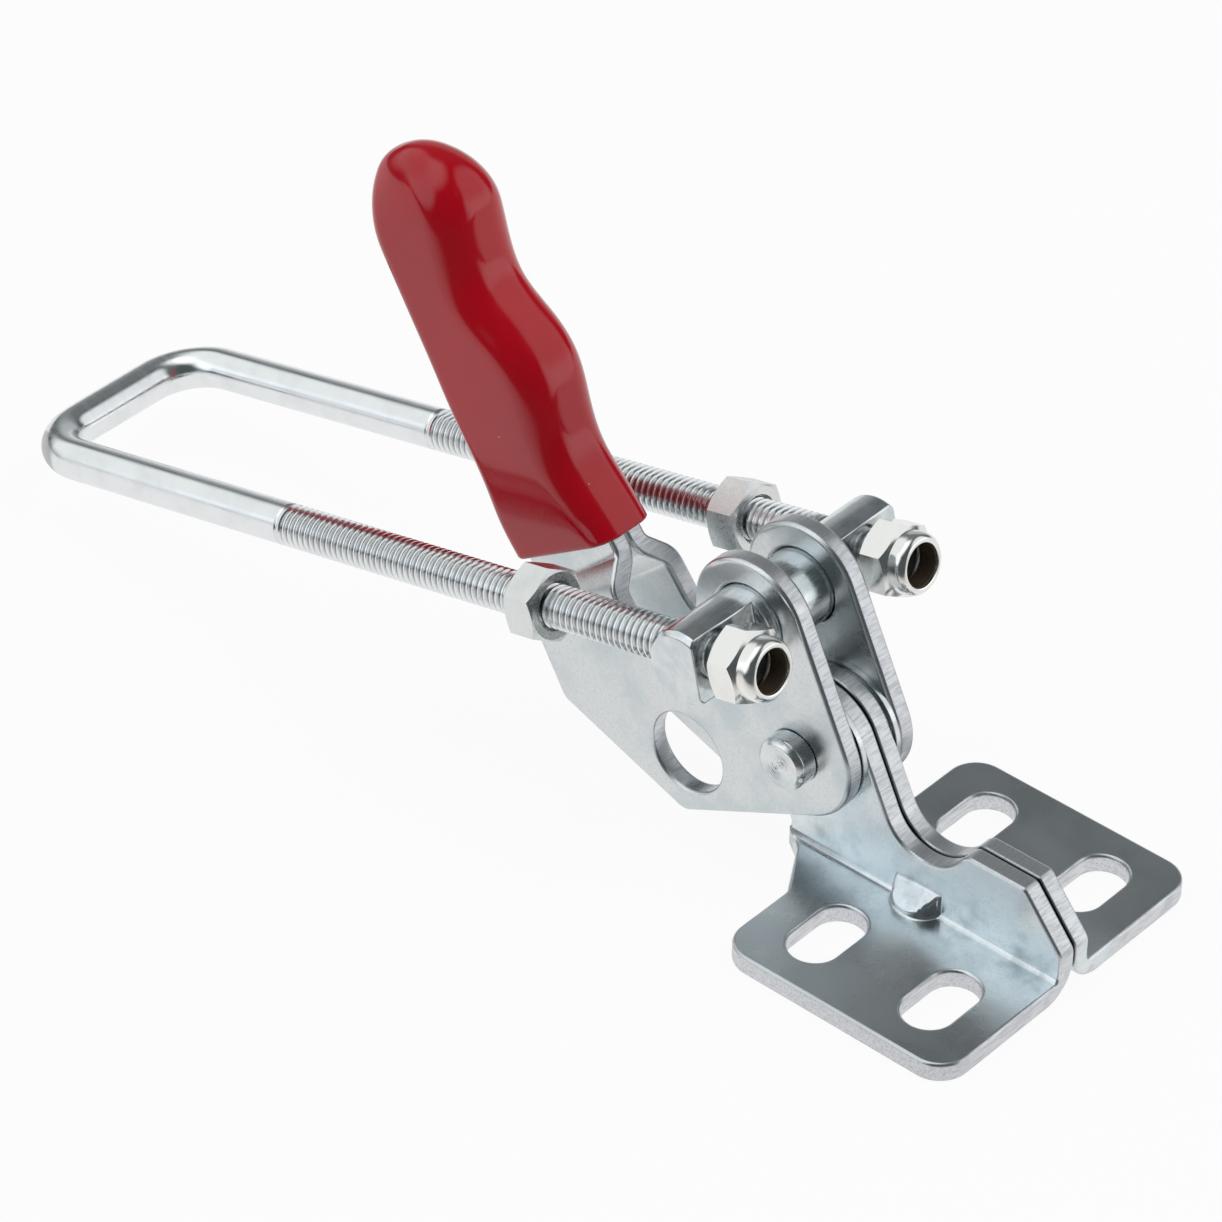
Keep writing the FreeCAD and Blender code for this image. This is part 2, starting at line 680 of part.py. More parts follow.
os.makedirs("parts", exist_ok=True)
for node, shape in build().items():
    solid = shape.Solids[0] if len(shape.Solids) == 1 else shape
    print(node, len(shape.Solids), solid.isValid(), round(solid.Volume, 1))
    solid.exportStep(os.path.join("parts", node + ".step"))
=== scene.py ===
import json
import math

import bmesh
import bpy
from mathutils import Matrix, Vector

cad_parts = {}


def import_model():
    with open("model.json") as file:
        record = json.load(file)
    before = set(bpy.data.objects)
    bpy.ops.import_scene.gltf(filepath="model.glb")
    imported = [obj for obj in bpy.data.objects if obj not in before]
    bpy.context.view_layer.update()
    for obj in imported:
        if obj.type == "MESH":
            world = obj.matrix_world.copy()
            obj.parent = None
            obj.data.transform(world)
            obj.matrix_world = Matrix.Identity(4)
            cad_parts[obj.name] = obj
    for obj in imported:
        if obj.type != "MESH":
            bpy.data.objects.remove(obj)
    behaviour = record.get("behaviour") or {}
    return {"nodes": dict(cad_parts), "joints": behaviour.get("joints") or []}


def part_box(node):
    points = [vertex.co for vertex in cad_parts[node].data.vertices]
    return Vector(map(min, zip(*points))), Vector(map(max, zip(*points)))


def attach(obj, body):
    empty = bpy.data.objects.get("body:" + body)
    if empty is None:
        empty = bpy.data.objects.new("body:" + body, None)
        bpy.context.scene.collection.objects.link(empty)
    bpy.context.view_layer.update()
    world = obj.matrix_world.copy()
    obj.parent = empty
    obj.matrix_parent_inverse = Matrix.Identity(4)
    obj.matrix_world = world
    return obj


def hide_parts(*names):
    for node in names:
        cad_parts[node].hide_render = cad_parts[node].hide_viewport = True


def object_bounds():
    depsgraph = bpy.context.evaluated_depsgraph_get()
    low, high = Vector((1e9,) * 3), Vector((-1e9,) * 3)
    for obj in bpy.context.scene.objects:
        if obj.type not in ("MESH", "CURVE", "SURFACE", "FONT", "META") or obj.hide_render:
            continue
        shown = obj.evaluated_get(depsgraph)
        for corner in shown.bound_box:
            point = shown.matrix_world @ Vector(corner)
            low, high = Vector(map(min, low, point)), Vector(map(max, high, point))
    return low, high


# Adjustable toggle latch: materials, threads, nuts, grip skin, floor, light and camera
# Metres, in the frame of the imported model

MM = 0.001

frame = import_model()
cad_low, cad_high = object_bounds()
nodes = frame["nodes"]
joints = {joint["name"]: joint for joint in frame["joints"]}

# Camera of the photograph, found by a fit to the latch
CAMERA_PLACE = Vector((-586.215, -429.001, 627.366)) * MM
CAMERA_RIGHT = Vector((0.66356, -0.74802, 0.01258))
CAMERA_DOWN = Vector((-0.45101, -0.41339, -0.79101))
CAMERA_FORWARD = Vector((0.59689, 0.51921, -0.61167))
CAMERA_LENS = 162.41
CAMERA_SENSOR = 36.0

# Sizes that the source gives too
ROD_RADIUS = 3.97 * MM
THREAD_PITCH = 1.411 * MM
THREAD_DEPTH = 0.84 * MM
LEG_X = 20.0 * MM
HOOK_REACH = 170.3 * MM
HOOK_BEND_RADIUS = 10.6 * MM
ROD_END = -11.0 * MM
ROD_END_CHAMFER = 0.8 * MM
THREAD_END = 102.3 * MM
DROOP = math.radians(13.2)

# Thread profile over one pitch: share of the pitch, share of the depth
THREAD_PROFILE = [(0.0, 0.0), (0.12, 0.0), (0.16, 0.12), (0.36, 0.88), (0.42, 1.0),
                  (0.58, 1.0), (0.64, 0.88), (0.84, 0.12), (0.88, 0.0)]
THREAD_STEPS = 36
THREAD_RUN_OUT = 1.6 * THREAD_PITCH

# Nuts: radii, and distances along the leg from the trunnion axis
NUT_FLAT = 6.35 * MM
NUT_FACE = NUT_FLAT - 0.25 * MM
NUT_BORE = 4.02 * MM
NUT_BORE_DEPTH = 0.45 * MM
NUT_CHAMFER_SLOPE = math.tan(math.radians(30))
NUT_STEPS = 96
JAM_NUT_HEIGHT = 6.75 * MM
LOCK_NUT_BEARING = -6.0 * MM
LOCK_NUT_HEX_END = LOCK_NUT_BEARING - 5.75 * MM
LOCK_NUT_LIP = LOCK_NUT_BEARING - 9.2 * MM
LOCK_NUT_TURN = {"left": -5.5, "right": -1.0}
COLLAR_RADIUS = 5.8 * MM
COLLAR_ROUNDING = 1.9 * MM
MOUTH_RADIUS = 4.1 * MM
INSERT_RADIUS = 5.05 * MM
INSERT_BORE = 4.0 * MM
INSERT_RIDGE = 0.07 * MM
INSERT_POCKET = 4.25 * MM

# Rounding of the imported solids' sharp edges
BEVEL_BASE = 0.7 * MM
BEVEL_HANDLE = 0.85 * MM
BEVEL_TRUNNION = 0.3 * MM
BEVEL_RIVET = 0.35 * MM

# Grip, in millimetres in its own plane
GRIP_ORIGIN = Vector((0, 86.5, 40.8)) * MM
GRIP_ANGLE = math.radians(56.5)
GRIP_TOP = 76.8
GRIP_DOME_START = 61.0
GRIP_DOME_LEAN = 3.0
GRIP_DOME_POWER = 2.15
GRIP_DOME_ROWS = 36
GRIP_DOME_OVAL = 0.55
GRIP_RIM = 0.7
GRIP_RIM_TURNS = (90, 67, 45, 22)
GRIP_ROW = 0.7
# Distance along, back edge, finger edge, half thickness, back corner radius, finger corner radius
GRIP_STATIONS = [
    (-0.4, -14.0, 12.0, 6.9, 2.6, 4.6),
    (7.0, -14.3, 10.5, 7.3, 2.8, 5.0),
    (14.5, -13.5, 9.1, 7.6, 3.0, 5.4),
    (22.0, -13.0, 10.1, 7.9, 3.0, 5.8),
    (31.0, -12.7, 12.1, 8.2, 3.0, 6.0),
    (38.5, -12.3, 10.9, 8.3, 3.1, 6.2),
    (47.0, -12.0, 7.6, 8.4, 3.2, 6.5),
    (55.5, -11.8, 8.5, 8.5, 3.4, 6.6),
    (63.0, -11.9, 10.8, 8.5, 4.0, 6.8),
    (70.0, -11.8, 12.2, 8.4, 4.6, 7.0),
    (GRIP_TOP, -11.6, 13.4, 8.2, 4.8, 7.0),
]


# The U-bolt's own frame: u runs from the trunnion axis towards the hook
TRUNNION = Vector(joints["trunnion_swing"]["pos_m"])
TOWARDS_HOOK = Vector((0, math.cos(DROOP), -math.sin(DROOP)))
ACROSS_LEG = Vector((0, math.sin(DROOP), math.cos(DROOP)))
SIDEWAYS = Vector((1, 0, 0))


def on_bolt(x, u):
    """Point of the frame at x sideways and u along the bolt's legs."""
    return TRUNNION + SIDEWAYS * x + TOWARDS_HOOK * u


def round_leg(angle):
    """Direction square to the legs at an angle from sideways."""
    return SIDEWAYS * math.cos(angle) + ACROSS_LEG * math.sin(angle)


# Materials

class Graph:
    """Short calls for shader nodes."""

    def __init__(self, tree):
        self.tree = tree

    def add(self, kind, **settings):
        node = self.tree.nodes.new(kind)
        for key, value in settings.items():
            setattr(node, key, value)
        return node

    def feed(self, socket, value):
        if isinstance(value, bpy.types.NodeSocket):
            self.tree.links.new(value, socket)
        else:
            socket.default_value = value

    def math(self, operation, *values):
        node = self.add("ShaderNodeMath", operation=operation)
        for socket, value in zip(node.inputs, values):
            self.feed(socket, value)
        return node.outputs[0]

    def times(self, first, *others):
        for value in others:
            first = self.math("MULTIPLY", first, value)
        return first

    def plus(self, first, second):
        return self.math("ADD", first, second)

    def step(self, value, low, high, out_low=0.0, out_high=1.0):
        """Smooth change from out_low at low to out_high at high."""
        node = self.add("ShaderNodeMapRange", interpolation_type="SMOOTHSTEP")
        for name, given in (("Value", value), ("From Min", low), ("From Max", high),
                            ("To Min", out_low), ("To Max", out_high)):
            self.feed(node.inputs[name], given)
        return node.outputs["Result"]

    def coords(self, output="Object"):
        return self.add("ShaderNodeTexCoord").outputs[output]

    def parts(self, vector):
        node = self.add("ShaderNodeSeparateXYZ")
        self.feed(node.inputs[0], vector)
        return node.outputs

    def scaled(self, vector, scale):
        node = self.add("ShaderNodeMapping")
        self.feed(node.inputs["Vector"], vector)
        node.inputs["Scale"].default_value = scale
        return node.outputs[0]

    def noise(self, vector, size, detail, rough):
        """Noise whose blotches measure about size metres."""
        node = self.add("ShaderNodeTexNoise")
        self.feed(node.inputs["Vector"], vector)
        node.inputs["Scale"].default_value = 1.0 / size
        node.inputs["Detail"].default_value = detail
        node.inputs["Roughness"].default_value = rough
        return node.outputs["Fac"]

    def mix(self, factor, first, second):
        """First colour at factor 0, second at 1."""
        node = self.add("ShaderNodeMix", data_type="RGBA")
        self.feed(node.inputs["Factor"], factor)
        self.feed(node.inputs[6], first)
        self.feed(node.inputs[7], second)
        return node.outputs[2]

    def bump(self, height, distance, strength, normal=None):
        node = self.add("ShaderNodeBump")
        node.inputs["Distance"].default_value = distance
        node.inputs["Strength"].default_value = strength
        self.feed(node.inputs["Height"], height)
        if normal is not None:
            self.feed(node.inputs["Normal"], normal)
        return node.outputs[0]


def new_material(name):
    """Node material with its graph and its principled shader."""
    material = bpy.data.materials.new(name)
    material.use_nodes = True
    tree = material.node_tree
    return material, Graph(tree), tree.nodes["Principled BSDF"]


def shaded(color, share):
    return tuple(channel * share for channel in color[:3]) + (1,)


# Plating: handle faces, base faces, base flanges (painted shade), bend (painted highlight and painted
# shade), then sheared edges, spots, a painted shade line along the edges and painted shade in the seam
ZINC_LIGHT = (0.74, 0.765, 0.77, 1)
ZINC_TEAL = (0.62, 0.69, 0.71, 1)
BASE_LIGHT = (0.73, 0.79, 0.815, 1)
BASE_BLUE = (0.68, 0.765, 0.80, 1)
FLANGE_SHADE_PAINT = (0.54, 0.565, 0.575, 1)
BEND_HIGHLIGHT_PAINT = (0.86, 0.92, 0.95, 1)
BEND_SHADE_PAINT = (0.36, 0.43, 0.45, 1)
ZINC_EDGE = (0.74, 0.75, 0.77, 1)
ZINC_PIT = (0.56, 0.58, 0.61, 1)
EDGE_LINE_SHADE = (0.36, 0.38, 0.39, 1)
SEAM_GAP_SHADE = (0.03, 0.035, 0.04, 1)
# Turned, rod and nut steel
RIVET_STEEL = (0.82, 0.83, 0.835, 1)
BAR_STEEL = (0.78, 0.80, 0.81, 1)
ROD_STEEL = (0.88, 0.90, 0.91, 1)
JAM_NUT_STEEL = (0.80, 0.82, 0.815, 1)
LOCK_NUT_STEEL = (0.92, 0.915, 0.89, 1)
# Plastics
GRIP_RED = (0.53, 0.000, 0.010, 1)
GRIP_RED_DARK = (0.48, 0.000, 0.009, 1)
GRIP_DUST = (0.7, 0.5, 0.5, 1)
NYLON_DARK = (0.06, 0.042, 0.025, 1)
NYLON_LIGHT = (0.11, 0.08, 0.05, 1)


def base_painted_light(g, place, where, edge, plated):
    """Base plates: painted shade on the flanges, painted highlight and painted shade in blotches along
    the bend, painted shade in the gap where the two stampings lie back to back.
    """
    out = g.math("ABSOLUTE", where[0])
    # Painted shade: the flange tops, away from the sheared edges, are darkened
    flange = g.times(g.step(where[2], 10 * MM, 5 * MM), g.step(out, 9 * MM, 18 * MM),
                     g.step(edge, 0.5, 0.1))
    plated = g.mix(g.times(flange, 0.8), plated, FLANGE_SHADE_PAINT)
    bend = g.times(g.step(out, 15 * MM, 8 * MM), g.step(where[2], 17 * MM, 8 * MM))
    blotch = g.noise(place, size=9 * MM, detail=3, rough=0.55)
    # Painted highlight: pale blotches along the inside of the bend
    plated = g.mix(g.times(bend, g.step(blotch, 0.48, 0.60, 0.0, 0.55)), plated, BEND_HIGHLIGHT_PAINT)
    # Painted shade: deep blotches in the crease of the bend
    plated = g.mix(g.times(bend, g.step(blotch, 0.46, 0.30, 0.0, 0.55)), plated, BEND_SHADE_PAINT)
    # Painted shade in the gap where the two stampings lie back to back
    return g.mix(g.step(out, 0.55 * MM, 0.1 * MM), plated, SEAM_GAP_SHADE)


def plate_material(name, edge_mask, light, dark, painted_light=None):
    """Zinc-plated sheet: edge_mask gives 1 on the sheared edges; the last argument adds painted
    highlight and shade to the colour.
    """
    material, g, shader = new_material(name)
    place = g.coords("Object")
    normal = g.parts(g.coords("Normal"))
    where = g.parts(place)
    edge = edge_mask(g, where, normal)

    cloud = g.noise(place, size=14 * MM, detail=4, rough=0.6)
    grain = g.noise(place, size=0.7 * MM, detail=5, rough=0.7)
    face = g.mix(g.step(cloud, 0.42, 0.66), light, dark)
    face = g.mix(g.step(grain, 0.52, 0.36, 0.0, 0.35), face, ZINC_PIT)
    streak = g.noise(g.scaled(place, (0.12, 1.0, 1.0)), size=0.4 * MM, detail=3, rough=0.6)
    sheared = g.mix(g.step(streak, 0.3, 0.62), ZINC_PIT, ZINC_EDGE)
    plated = g.mix(edge, face, sheared)
    # Painted shade: a dark line where the edge mask passes one half, where the sheet's edge rolls over
    rim = g.times(edge, g.math("SUBTRACT", 1.0, edge), 4.0)
    plated = g.mix(g.times(rim, 0.7), plated, EDGE_LINE_SHADE)
    if painted_light:
        plated = painted_light(g, place, where, edge, plated)
    g.feed(shader.inputs["Base Color"], plated)
    shader.inputs["Metallic"].default_value = 1.0
    smooth_rough = g.step(cloud, 0.3, 0.75, 0.24, 0.36)
    edge_rough = g.step(streak, 0.3, 0.7, 0.42, 0.3)
    rough = g.add("ShaderNodeMix", data_type="FLOAT")
    g.feed(rough.inputs["Factor"], edge)
    g.feed(rough.inputs[2], smooth_rough)
    g.feed(rough.inputs[3], edge_rough)
    g.feed(shader.inputs["Roughness"], rough.outputs[0])
    wave = g.noise(place, size=9 * MM, detail=2, rough=0.5)
    first = g.bump(wave, 0.25 * MM, 0.5)
    second = g.bump(grain, 0.03 * MM, 0.6, first)
    g.feed(shader.inputs["Normal"], g.bump(g.times(streak, edge), 0.05 * MM, 0.5, second))
    return material


def handle_edges(g, where, normal):
    """1 where the handle plates' surface does not face sideways."""
    return g.step(g.math("ABSOLUTE", normal[0]), 0.45, 0.25)


def base_edges(g, where, normal):
    """1 on the base plates' ends, on the web's top and on the flange's upright sides."""
    fore_aft = g.step(g.math("ABSOLUTE", normal[1]), 0.35, 0.55)
    web_top = g.times(g.step(normal[2], 0.5, 0.8), g.step(where[2], 12 * MM, 13 * MM))
    out = g.math("ABSOLUTE", where[0])
    flange = g.times(g.step(where[2], 4.05 * MM, 3.95 * MM), g.step(out, 11 * MM, 12 * MM))
    side = g.times(flange, g.step(g.math("ABSOLUTE", normal[2]), 0.6, 0.3))
    return g.math("MAXIMUM", g.math("MAXIMUM", fore_aft, web_top), side)


def length(g, first, second):
    """Root of the sum of the two squares."""
    return g.math("SQRT", g.plus(g.times(first, first), g.times(second, second)))


def turned_material(name, centre, color, rough, ring_pitch, ring_depth):
    """Bright turned steel, with tool rings on the faces square to X round centre."""
    material, g, shader = new_material(name)
    place = g.coords("Object")
    where = g.parts(place)
    normal = g.parts(g.coords("Normal"))
    radius = length(g, g.math("SUBTRACT", where[1], centre[1]), g.math("SUBTRACT", where[2], centre[2]))
    wobble = g.noise(place, size=3 * MM, detail=2, rough=0.5)
    shifted = g.plus(radius, g.times(wobble, 0.25 * MM))
    ring = g.math("SINE", g.times(shifted, 2 * math.pi / ring_pitch))
    on_end = g.step(g.math("ABSOLUTE", normal[0]), 0.8, 0.95)
    cloud = g.noise(place, size=5 * MM, detail=3, rough=0.6)
    g.feed(shader.inputs["Base Color"], g.mix(g.step(cloud, 0.35, 0.7), color, ZINC_TEAL))
    shader.inputs["Metallic"].default_value = 1.0
    fine = g.noise(g.scaled(place, (0.5, 3.0, 3.0)), size=1.2 * MM, detail=3, rough=0.6)
    g.feed(shader.inputs["Roughness"], g.step(fine, 0.3, 0.7, rough - 0.05, rough + 0.1))
    fade = g.step(radius, 4.6 * MM, 0.3 * MM, 0.35, 1.0)
    rings = g.bump(g.times(ring, on_end, fade), ring_depth, 0.9)
    g.feed(shader.inputs["Normal"], g.bump(fine, 0.02 * MM, 0.4, rings))
    return material


def leg_distance(g, place):
    """Distance of a point from the axis of the nearer leg of the U-bolt."""
    where = g.parts(place)
    across = g.math("SUBTRACT", g.math("ABSOLUTE", where[0]), LEG_X)
    dy = g.math("SUBTRACT", where[1], TRUNNION.y)
    dz = g.math("SUBTRACT", where[2], TRUNNION.z)
    return length(g, across, g.plus(g.times(dy, math.sin(DROOP)), g.times(dz, math.cos(DROOP))))


def bright_material(name, color, rough, grain_size, grain_stretch=(1.0, 1.0, 1.0)):
    """Bright plated bar or nut, with painted shade in the roots of its thread."""
    material, g, shader = new_material(name)
    place = g.coords("Object")
    cloud = g.noise(place, size=6 * MM, detail=3, rough=0.6)
    grain = g.noise(g.scaled(place, grain_stretch), size=grain_size, detail=3, rough=0.6)
    plated = g.mix(g.step(cloud, 0.4, 0.75), color, shaded(color, 0.93))
    # Painted shade in the roots of the thread
    root = g.step(leg_distance(g, place), ROD_RADIUS - 0.15 * MM, ROD_RADIUS - 0.6 * MM)
    g.feed(shader.inputs["Base Color"], g.mix(root, plated, shaded(color, 0.55)))
    shader.inputs["Metallic"].default_value = 1.0
    g.feed(shader.inputs["Roughness"], g.step(grain, 0.3, 0.7, rough - 0.04, rough + 0.08))
    g.feed(shader.inputs["Normal"], g.bump(grain, 0.015 * MM, 0.45))
    return material


def grip_material():
    """Glossy red plastic with a few dust specks."""
    material, g, shader = new_material("grip_red")
    place = g.coords("Object")
    cloud = g.noise(place, size=20 * MM, detail=2, rough=0.5)
    red = g.mix(g.step(cloud, 0.35, 0.7), GRIP_RED, GRIP_RED_DARK)
    cells = g.add("ShaderNodeTexVoronoi")
    g.feed(cells.inputs["Vector"], place)
    cells.inputs["Scale"].default_value = 1 / (2.6 * MM)
    spot = g.step(cells.outputs["Distance"], 0.07, 0.045)
    rare = g.parts(cells.outputs["Color"])
    speck = g.times(spot, g.step(rare[0], 0.93, 0.94), 0.8)
    g.feed(shader.inputs["Base Color"], g.mix(speck, red, GRIP_DUST))
    shader.inputs["Roughness"].default_value = 0.12
    shader.inputs["Coat Weight"].default_value = 0.15
    shader.inputs["Coat Roughness"].default_value = 0.05
    peel = g.noise(place, size=3.5 * MM, detail=2, rough=0.5)
    g.feed(shader.inputs["Normal"], g.bump(peel, 0.02 * MM, 0.3))
    return material


def nylon_material():
    material, g, shader = new_material("nylon_brown")
    place = g.coords("Object")
    cloud = g.noise(place, size=1.5 * MM, detail=3, rough=0.6)
    g.feed(shader.inputs["Base Color"], g.mix(cloud, NYLON_DARK, NYLON_LIGHT))
    shader.inputs["Roughness"].default_value = 0.35
    g.feed(shader.inputs["Normal"], g.bump(cloud, 0.03 * MM, 0.5))
    return material


def dress(obj, material):
    obj.data.materials.clear()
    obj.data.materials.append(material)


# Geometry helpers

def link_object(name, data):
    obj = bpy.data.objects.new(name, data)
    bpy.context.scene.collection.objects.link(obj)
    return obj


def face_outwards(mesh, data):
    """Turn the bmesh's faces outwards, write it to data and free it."""
    bmesh.ops.recalc_face_normals(mesh, faces=mesh.faces)
    mesh.to_mesh(data)
    mesh.free()


def grid_object(name, rows, caps=True):
    """Object from rows of points, each row a closed ring."""
    mesh = bmesh.new()
    rings = [[mesh.verts.new(point) for point in row] for row in rows]
    count = len(rings[0])
    for low, high in zip(rings, rings[1:]):
        for index in range(count):
            after = (index + 1) % count
            mesh.faces.new((low[index], low[after], high[after], high[index]))
    if caps:
        mesh.faces.new(rings[0][::-1])
        mesh.faces.new(rings[-1])
    data = bpy.data.meshes.new(name)
    face_outwards(mesh, data)
    return link_object(name, data)


def smooth_by_angle(obj, degrees):
    """Smooth shading, sharp where faces meet at more than the angle."""
    for polygon in obj.data.polygons:
        polygon.use_smooth = True
    obj.data.set_sharp_from_angle(angle=math.radians(degrees))


def soft_edges(obj, width, degrees=35):
    """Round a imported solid's edges sharper than the angle: join its faces, drop flat edges, bevel."""
    for polygon in obj.data.polygons:
        polygon.use_smooth = True
    weld = obj.modifiers.new("join faces", "WELD")
    weld.merge_threshold = 0.002 * MM
    flat = obj.modifiers.new("flat faces", "DECIMATE")
    flat.decimate_type = "DISSOLVE"
    flat.angle_limit = math.radians(0.6)
    bevel = obj.modifiers.new("soft edges", "BEVEL")
    bevel.width = width
    bevel.segments = 3
    bevel.limit_method = "ANGLE"
    bevel.angle_limit = math.radians(degrees)
    bevel.use_clamp_overlap = False
    bevel.loop_slide = False
    shade = obj.modifiers.new("even shading", "WEIGHTED_NORMAL")
    shade.weight = 60


# Threaded legs and smooth shank of the U-bolt

def thread_radius(u, depth_share):
    """Radius of the thread surface at u: full depth, run-out at the top, chamfer at the end."""
    run_out = min(1.0, max(0.0, (THREAD_END - u) / THREAD_RUN_OUT))
    radius = ROD_RADIUS - THREAD_DEPTH * depth_share * run_out
    cone = ROD_RADIUS - ROD_END_CHAMFER + max(0.0, u - ROD_END)
    return min(radius, cone)


def threaded_leg(name, x):
    """Helical surface along one leg, its rows following the thread."""
    turns = int((THREAD_END - ROD_END) / THREAD_PITCH) + 2
    mesh = bmesh.new()
    previous = None
    for index in range(turns * THREAD_STEPS + 1):
        angle = 2 * math.pi * (index % THREAD_STEPS) / THREAD_STEPS
        lead = THREAD_PITCH * index / THREAD_STEPS
        column = []
        for share, depth in THREAD_PROFILE + [(1.0, 0.0)]:
            u = ROD_END - THREAD_PITCH + lead + THREAD_PITCH * share
            u = min(max(u, ROD_END), THREAD_END)
            column.append(mesh.verts.new(on_bolt(x, u) + round_leg(angle) * thread_radius(u, depth)))
        if previous is not None:
            for low in range(len(column) - 1):
                mesh.faces.new((previous[low], column[low], column[low + 1], previous[low + 1]))
        previous = column
    bmesh.ops.remove_doubles(mesh, verts=mesh.verts, dist=0.002 * MM)
    bmesh.ops.dissolve_degenerate(mesh, edges=mesh.edges, dist=0.001 * MM)
    rim = ROD_RADIUS - ROD_END_CHAMFER
    end_ring = [mesh.verts.new(on_bolt(x, ROD_END) + round_leg(2 * math.pi * step / THREAD_STEPS) * rim)
                for step in range(THREAD_STEPS)]
    mesh.faces.new(end_ring)
    data = bpy.data.meshes.new(name)
    face_outwards(mesh, data)
    obj = link_object(name, data)
    smooth_by_angle(obj, 40)
    return obj


def bolt_shank():
    """Smooth part of the U-bolt: both legs above the thread, bends and crossbar."""
    bend = HOOK_BEND_RADIUS
    corner = HOOK_REACH - bend
    inner = LEG_X - bend
    overlap = 0.2 * MM
    shares = (0.33, 0.66)
    bend_steps = 16
    around = 48
    # Path: (x, u), then the direction of travel (dx, du)
    path = [((-LEG_X, THREAD_END - overlap), (0, 1))]
    for share in shares:
        path.append(((-LEG_X, THREAD_END + (corner - THREAD_END) * share), (0, 1)))
    turns = [math.pi / 2 * step / bend_steps for step in range(bend_steps + 1)]
    for turn in turns:
        path.append(((-inner - bend * math.cos(turn), corner + bend * math.sin(turn)),
                     (math.sin(turn), math.cos(turn))))
    for turn in turns:
        path.append(((inner + bend * math.sin(turn), corner + bend * math.cos(turn)),
                     (math.cos(turn), -math.sin(turn))))
    for share in shares[::-1]:
        path.append(((LEG_X, THREAD_END + (corner - THREAD_END) * share), (0, -1)))
    path.append(((LEG_X, THREAD_END - overlap), (0, -1)))
    rows = []
    for (x, u), (dx, du) in path:
        side = SIDEWAYS * du - TOWARDS_HOOK * dx
        ring = []
        for step in range(around):
            turn = 2 * math.pi * step / around
            offset = side * math.cos(turn) + ACROSS_LEG * math.sin(turn)
            ring.append(on_bolt(x, u) + offset * ROD_RADIUS)
        rows.append(ring)
    obj = grid_object("bolt_shank", rows)
    smooth_by_angle(obj, 40)
    return obj


# Grip skin

def spline_bends(knots, values):
    """Second derivatives of the natural cubic spline through the values."""
    count = len(knots)
    upper, part, bends = [0.0] * count, [0.0] * count, [0.0] * count
    for index in range(1, count - 1):
        before = knots[index] - knots[index - 1]
        after = knots[index + 1] - knots[index]
        pivot = 2 * (before + after) - before * upper[index - 1]
        upper[index] = after / pivot
        slope_before = (values[index] - values[index - 1]) / before
        slope_after = (values[index + 1] - values[index]) / after
        part[index] = (6 * (slope_after - slope_before) - before * part[index - 1]) / pivot
    for index in range(count - 2, 0, -1):
        bends[index] = part[index] - upper[index] * bends[index + 1]
    return bends


GRIP_KNOTS = [station[0] for station in GRIP_STATIONS]
GRIP_COLUMNS = list(zip(*GRIP_STATIONS))[1:]
GRIP_BENDS = [spline_bends(GRIP_KNOTS, column) for column in GRIP_COLUMNS]


def grip_section(along):
    """Back edge, finger edge, half thickness and corner radii at a distance along the grip."""
    index = max(place for place in range(len(GRIP_KNOTS) - 1) if GRIP_KNOTS[place] <= along + 1e-9)
    gap = GRIP_KNOTS[index + 1] - GRIP_KNOTS[index]
    low = (GRIP_KNOTS[index + 1] - along) / gap
    high = 1 - low
    return [low * column[index] + high * column[index + 1]
            + ((low ** 3 - low) * bends[index] + (high ** 3 - high) * bends[index + 1]) * gap * gap / 6
            for column, bends in zip(GRIP_COLUMNS, GRIP_BENDS)]


def grip_point(along, across, out):
    """Point of the frame from millimetres along the grip, towards the fingers and sideways."""
    forward = Vector((0, math.cos(GRIP_ANGLE), math.sin(GRIP_ANGLE)))
    finger = Vector((0, -math.sin(GRIP_ANGLE), math.cos(GRIP_ANGLE)))
    return GRIP_ORIGIN + (forward * along + finger * across) * MM + SIDEWAYS * (out * MM)


def rounded_ring(back, finger, half, back_radius, finger_radius):
    """Rounded rectangle as (across, out) points, the same number for every section."""
    corner_steps = 12
    side_steps = 10
    points = []
    corners = [(finger - finger_radius, half - finger_radius, finger_radius),
               (back + back_radius, half - back_radius, back_radius),
               (back + back_radius, back_radius - half, back_radius),
               (finger - finger_radius, finger_radius - half, finger_radius)]
    for index, (across, out, radius) in enumerate(corners):
        turn = math.pi / 2 * index
        for step in range(corner_steps + 1):
            angle = turn + math.pi / 2 * step / corner_steps
            points.append((across + radius * math.cos(angle), out + radius * math.sin(angle)))
        after = corners[(index + 1) % 4]
        angle = turn + math.pi / 2
        here = points[-1]
        there = (after[0] + after[2] * math.cos(angle), after[1] + after[2] * math.sin(angle))
        for step in range(1, side_steps):
            share = step / side_steps
            points.append((here[0] + (there[0] - here[0]) * share,
                           here[1] + (there[1] - here[1]) * share))
    return points


def grip_ring(along, section, oval=0.0):
    """One row of the grip; oval draws its rounded rectangle in towards the ellipse inside it."""
    back, finger, half = section[:3]
    middle, width = (back + finger) / 2, (finger - back) / 2
    row = []
    for across, out in rounded_ring(*section):
        reach = math.hypot((across - middle) / width, out / half)
        pull = 1 + oval * (1 / reach - 1)
        row.append(grip_point(along, middle + (across - middle) * pull, out * pull))
    return row


